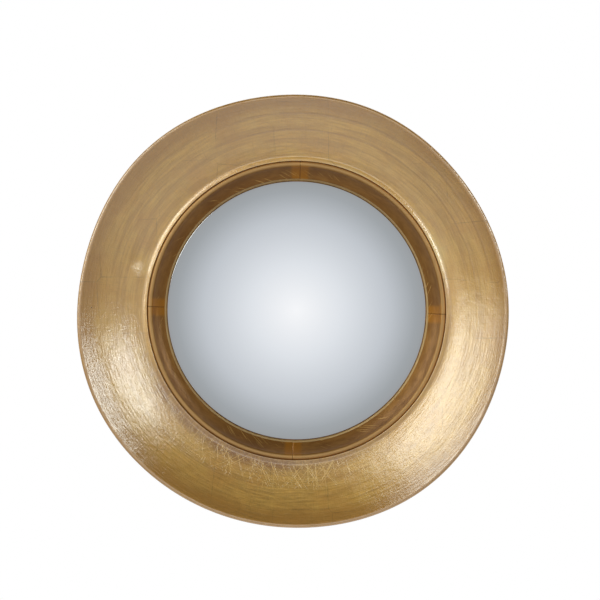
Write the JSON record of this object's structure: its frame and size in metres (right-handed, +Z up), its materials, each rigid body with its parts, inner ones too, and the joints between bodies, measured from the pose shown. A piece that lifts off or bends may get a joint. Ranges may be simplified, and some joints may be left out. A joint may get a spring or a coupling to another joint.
{
  "type": "convex wall mirror",
  "caption": "Round convex wall mirror sunk in a broad gilded ring frame with a scooped front, a dark coved liner, turn-button back and swinging hanger rings.",
  "frame": {"origin": "on the glass axis, in the plane of the wall that the bumpers rest on", "axes": "+Z up, the front of the mirror faces -Y, +Y goes into the wall, +X is to the right seen from the front"},
  "size_m": [0.5971, 0.0901, 0.599],
  "materials": {
    "gold_leaf": "metal leaf over gesso on turned wood, burnished and rubbed",
    "ring_paint": "dark brown paint on wood",
    "liner_leaf": "darker toned metal leaf on wood moulding, amber lacquer at its joints",
    "silvered_glass": "clear convex glass, silvered behind, polished bevel",
    "felt": "black wool felt",
    "block_rubber": "black rubber blocks",
    "hardboard": "brown hardboard, smooth side out",
    "plated_steel": "zinc plated steel",
    "bumper_rubber": "dark grey rubber"
  },
  "bodies": {
    "mirror_body": {"front_ring": "gold_leaf", "back_ring": "ring_paint", "mirror_glass": "silvered_glass", "glass_seal": "felt", "backing_board": "hardboard", "turn_button_screws": "plated_steel", "hanger_screws": "plated_steel", "liner_upper_right": "liner_leaf", "liner_upper_left": "liner_leaf", "liner_lower_left": "liner_leaf", "liner_lower_right": "liner_leaf", "setting_block_upper_left": "block_rubber", "wall_bumper_upper_left": "bumper_rubber", "setting_block_upper_right": "block_rubber", "wall_bumper_upper_right": "bumper_rubber", "setting_block_lower_left": "block_rubber", "wall_bumper_lower_left": "bumper_rubber", "setting_block_lower_right": "block_rubber", "wall_bumper_lower_right": "bumper_rubber", "left_hanger_strap": "plated_steel", "right_hanger_strap": "plated_steel"},
    "turn_button_1": {"turn_button_1": "plated_steel"},
    "turn_button_2": {"turn_button_2": "plated_steel"},
    "turn_button_3": {"turn_button_3": "plated_steel"},
    "turn_button_4": {"turn_button_4": "plated_steel"},
    "turn_button_5": {"turn_button_5": "plated_steel"},
    "turn_button_6": {"turn_button_6": "plated_steel"},
    "left_ring": {"left_hanger_ring": "plated_steel"},
    "right_ring": {"right_hanger_ring": "plated_steel"}
  },
  "joints": [
    {"name": "turn_button_1_spin", "type": "hinge", "parent": "mirror_body", "child": "turn_button_1", "pos_m": [0.203, -0.006, 0], "axis": [0, -1, 0], "continuous": true},
    {"name": "turn_button_2_spin", "type": "hinge", "parent": "mirror_body", "child": "turn_button_2", "pos_m": [0.1015, -0.006, 0.1758], "axis": [0, -1, 0], "continuous": true},
    {"name": "turn_button_3_spin", "type": "hinge", "parent": "mirror_body", "child": "turn_button_3", "pos_m": [-0.1015, -0.006, 0.1758], "axis": [0, -1, 0], "continuous": true},
    {"name": "turn_button_4_spin", "type": "hinge", "parent": "mirror_body", "child": "turn_button_4", "pos_m": [-0.203, -0.006, 0], "axis": [0, -1, 0], "continuous": true},
    {"name": "turn_button_5_spin", "type": "hinge", "parent": "mirror_body", "child": "turn_button_5", "pos_m": [-0.1015, -0.006, -0.1758], "axis": [0, -1, 0], "continuous": true},
    {"name": "turn_button_6_spin", "type": "hinge", "parent": "mirror_body", "child": "turn_button_6", "pos_m": [0.1015, -0.006, -0.1758], "axis": [0, -1, 0], "continuous": true},
    {"name": "left_ring_swing", "type": "hinge", "parent": "mirror_body", "child": "left_ring", "pos_m": [-0.20301, -0.00422, 0.09467], "axis": [-1, 0, 0], "range_deg": [0, 178]},
    {"name": "right_ring_swing", "type": "hinge", "parent": "mirror_body", "child": "right_ring", "pos_m": [0.20301, -0.00422, 0.09467], "axis": [-1, 0, 0], "range_deg": [0, 178]}
  ]
}
